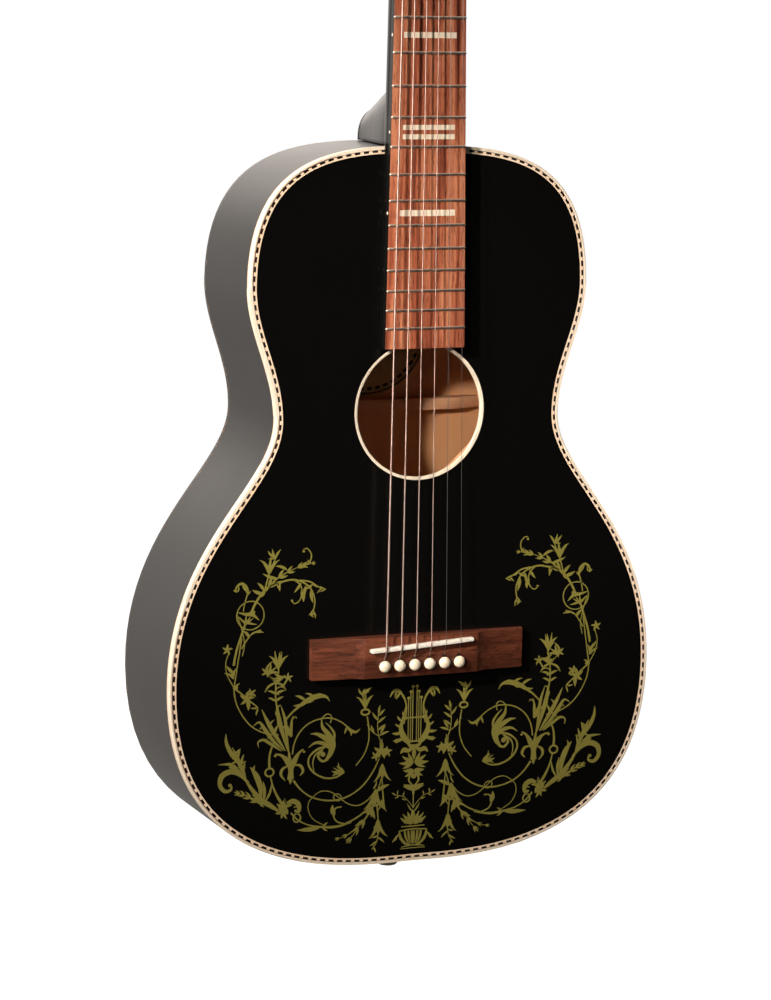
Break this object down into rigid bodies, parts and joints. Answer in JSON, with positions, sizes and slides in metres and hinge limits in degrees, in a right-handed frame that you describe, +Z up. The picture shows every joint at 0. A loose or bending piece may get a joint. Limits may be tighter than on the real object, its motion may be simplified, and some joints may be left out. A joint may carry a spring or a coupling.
{
  "type": "acoustic guitar",
  "caption": "Small-bodied twelve-fret steel-string acoustic guitar with a waisted body, rope-pattern edge, pin bridge and geared tuners.",
  "frame": {"origin": "centre of the end pin's flat outer face, at the guitar's lowest point when it stands upright", "axes": "+Z up the neck to the headstock, the soundboard and the strings face -Y, -X is the bass side"},
  "size_m": [0.3486, 0.1152, 0.9928],
  "materials": {
    "black_lacquer_wood": "satin black lacquer over wood",
    "ivoroid": "polished ivory-coloured plastic",
    "purfling_wood": "dyed wood marquetry strip",
    "spruce": "bare, planed spruce",
    "rosewood": "oiled open-pored rosewood",
    "bone": "polished bone",
    "nickel": "nickel-plated steel",
    "steel": "plain steel",
    "bronze": "bronze winding over steel",
    "maple": "bare maple"
  },
  "bodies": {
    "guitar": {"soundboard": "black_lacquer_wood", "soundhole_ring": "ivoroid", "back": "black_lacquer_wood", "side_bass": "black_lacquer_wood", "side_treble": "black_lacquer_wood", "top_purfling": "purfling_wood", "top_binding": "ivoroid", "neck_block": "spruce", "tail_block": "spruce", "top_lining_bass": "spruce", "top_lining_treble": "spruce", "back_lining_bass": "spruce", "back_lining_treble": "spruce", "x_brace_bass": "spruce", "x_brace_treble": "spruce", "upper_brace": "spruce", "tone_bar": "spruce", "bridge_plate": "maple", "back_brace_1": "spruce", "back_brace_2": "spruce", "back_brace_3": "spruce", "back_brace_4": "spruce", "bridge": "rosewood", "saddle": "bone", "end_pin": "ivoroid", "neck": "black_lacquer_wood", "heel_cap": "black_lacquer_wood", "fingerboard": "rosewood", "nut": "bone", "truss_rod": "steel", "truss_rod_cover": "black_lacquer_wood", "headplate": "rosewood", "tuner_plate_treble": "nickel", "tuner_plate_bass": "nickel", "string_1": "steel", "string_2": "steel", "string_3": "bronze", "string_4": "bronze", "string_5": "bronze", "string_6": "bronze"},
    "bridge_pin_1": {"bridge_pin_1": "ivoroid"},
    "bridge_pin_2": {"bridge_pin_2": "ivoroid"},
    "bridge_pin_3": {"bridge_pin_3": "ivoroid"},
    "bridge_pin_4": {"bridge_pin_4": "ivoroid"},
    "bridge_pin_5": {"bridge_pin_5": "ivoroid"},
    "bridge_pin_6": {"bridge_pin_6": "ivoroid"},
    "tuner_shaft_1": {"tuner_shaft_1": "nickel"},
    "tuner_shaft_2": {"tuner_shaft_2": "nickel"},
    "tuner_shaft_3": {"tuner_shaft_3": "nickel"},
    "tuner_shaft_4": {"tuner_shaft_4": "nickel"},
    "tuner_shaft_5": {"tuner_shaft_5": "nickel"},
    "tuner_shaft_6": {"tuner_shaft_6": "nickel"},
    "tuner_post_1": {"tuner_post_1": "nickel"},
    "tuner_post_2": {"tuner_post_2": "nickel"},
    "tuner_post_3": {"tuner_post_3": "nickel"},
    "tuner_post_4": {"tuner_post_4": "nickel"},
    "tuner_post_5": {"tuner_post_5": "nickel"},
    "tuner_post_6": {"tuner_post_6": "nickel"},
    "truss_rod_nut": {"truss_rod_nut": "steel"}
  },
  "joints": [
    {"name": "bridge_pin_1_pull", "type": "slide", "parent": "guitar", "child": "bridge_pin_1", "axis": [0, -1, 0], "range_m": [0, 0.03]},
    {"name": "bridge_pin_2_pull", "type": "slide", "parent": "guitar", "child": "bridge_pin_2", "axis": [0, -1, 0], "range_m": [0, 0.03]},
    {"name": "bridge_pin_3_pull", "type": "slide", "parent": "guitar", "child": "bridge_pin_3", "axis": [0, -1, 0], "range_m": [0, 0.03]},
    {"name": "bridge_pin_4_pull", "type": "slide", "parent": "guitar", "child": "bridge_pin_4", "axis": [0, -1, 0], "range_m": [0, 0.03]},
    {"name": "bridge_pin_5_pull", "type": "slide", "parent": "guitar", "child": "bridge_pin_5", "axis": [0, -1, 0], "range_m": [0, 0.03]},
    {"name": "bridge_pin_6_pull", "type": "slide", "parent": "guitar", "child": "bridge_pin_6", "axis": [0, -1, 0], "range_m": [0, 0.03]},
    {"name": "tuner_1_button_turn", "type": "hinge", "parent": "guitar", "child": "tuner_shaft_1", "pos_m": [0.022, -0.01824, 0.86521], "axis": [1, 0, 0], "continuous": true},
    {"name": "tuner_2_button_turn", "type": "hinge", "parent": "guitar", "child": "tuner_shaft_2", "pos_m": [0.022, -0.00832, 0.90499], "axis": [1, 0, 0], "continuous": true},
    {"name": "tuner_3_button_turn", "type": "hinge", "parent": "guitar", "child": "tuner_shaft_3", "pos_m": [0.022, 0.0016, 0.94477], "axis": [1, 0, 0], "continuous": true},
    {"name": "tuner_4_button_turn", "type": "hinge", "parent": "guitar", "child": "tuner_shaft_4", "pos_m": [-0.022, 0.0016, 0.94477], "axis": [1, 0, 0], "continuous": true},
    {"name": "tuner_5_button_turn", "type": "hinge", "parent": "guitar", "child": "tuner_shaft_5", "pos_m": [-0.022, -0.00832, 0.90499], "axis": [1, 0, 0], "continuous": true},
    {"name": "tuner_6_button_turn", "type": "hinge", "parent": "guitar", "child": "tuner_shaft_6", "pos_m": [-0.022, -0.01824, 0.86521], "axis": [1, 0, 0], "continuous": true},
    {"name": "tuner_1_post_turn", "type": "hinge", "parent": "guitar", "child": "tuner_post_1", "pos_m": [0.022, -0.02044, 0.85638], "axis": [0, -0.9703, 0.2419], "continuous": true},
    {"name": "tuner_2_post_turn", "type": "hinge", "parent": "guitar", "child": "tuner_post_2", "pos_m": [0.022, -0.01052, 0.89616], "axis": [0, -0.9703, 0.2419], "continuous": true},
    {"name": "tuner_3_post_turn", "type": "hinge", "parent": "guitar", "child": "tuner_post_3", "pos_m": [0.022, -0.0006, 0.93594], "axis": [0, -0.9703, 0.2419], "continuous": true},
    {"name": "tuner_4_post_turn", "type": "hinge", "parent": "guitar", "child": "tuner_post_4", "pos_m": [-0.022, -0.0006, 0.93594], "axis": [0, -0.9703, 0.2419], "continuous": true},
    {"name": "tuner_5_post_turn", "type": "hinge", "parent": "guitar", "child": "tuner_post_5", "pos_m": [-0.022, -0.01052, 0.89616], "axis": [0, -0.9703, 0.2419], "continuous": true},
    {"name": "tuner_6_post_turn", "type": "hinge", "parent": "guitar", "child": "tuner_post_6", "pos_m": [-0.022, -0.02044, 0.85638], "axis": [0, -0.9703, 0.2419], "continuous": true},
    {"name": "truss_rod_nut_turn", "type": "hinge", "parent": "guitar", "child": "truss_rod_nut", "pos_m": [0, -0.0406, 0.8321], "axis": [0, 0, 1], "range_deg": [-180, 180]}
  ],
  "couplings": [
    {"joint": "tuner_1_post_turn", "follows": "tuner_1_button_turn", "ratio": 0.071429},
    {"joint": "tuner_2_post_turn", "follows": "tuner_2_button_turn", "ratio": 0.071429},
    {"joint": "tuner_3_post_turn", "follows": "tuner_3_button_turn", "ratio": 0.071429},
    {"joint": "tuner_4_post_turn", "follows": "tuner_4_button_turn", "ratio": 0.071429},
    {"joint": "tuner_5_post_turn", "follows": "tuner_5_button_turn", "ratio": 0.071429},
    {"joint": "tuner_6_post_turn", "follows": "tuner_6_button_turn", "ratio": 0.071429}
  ]
}
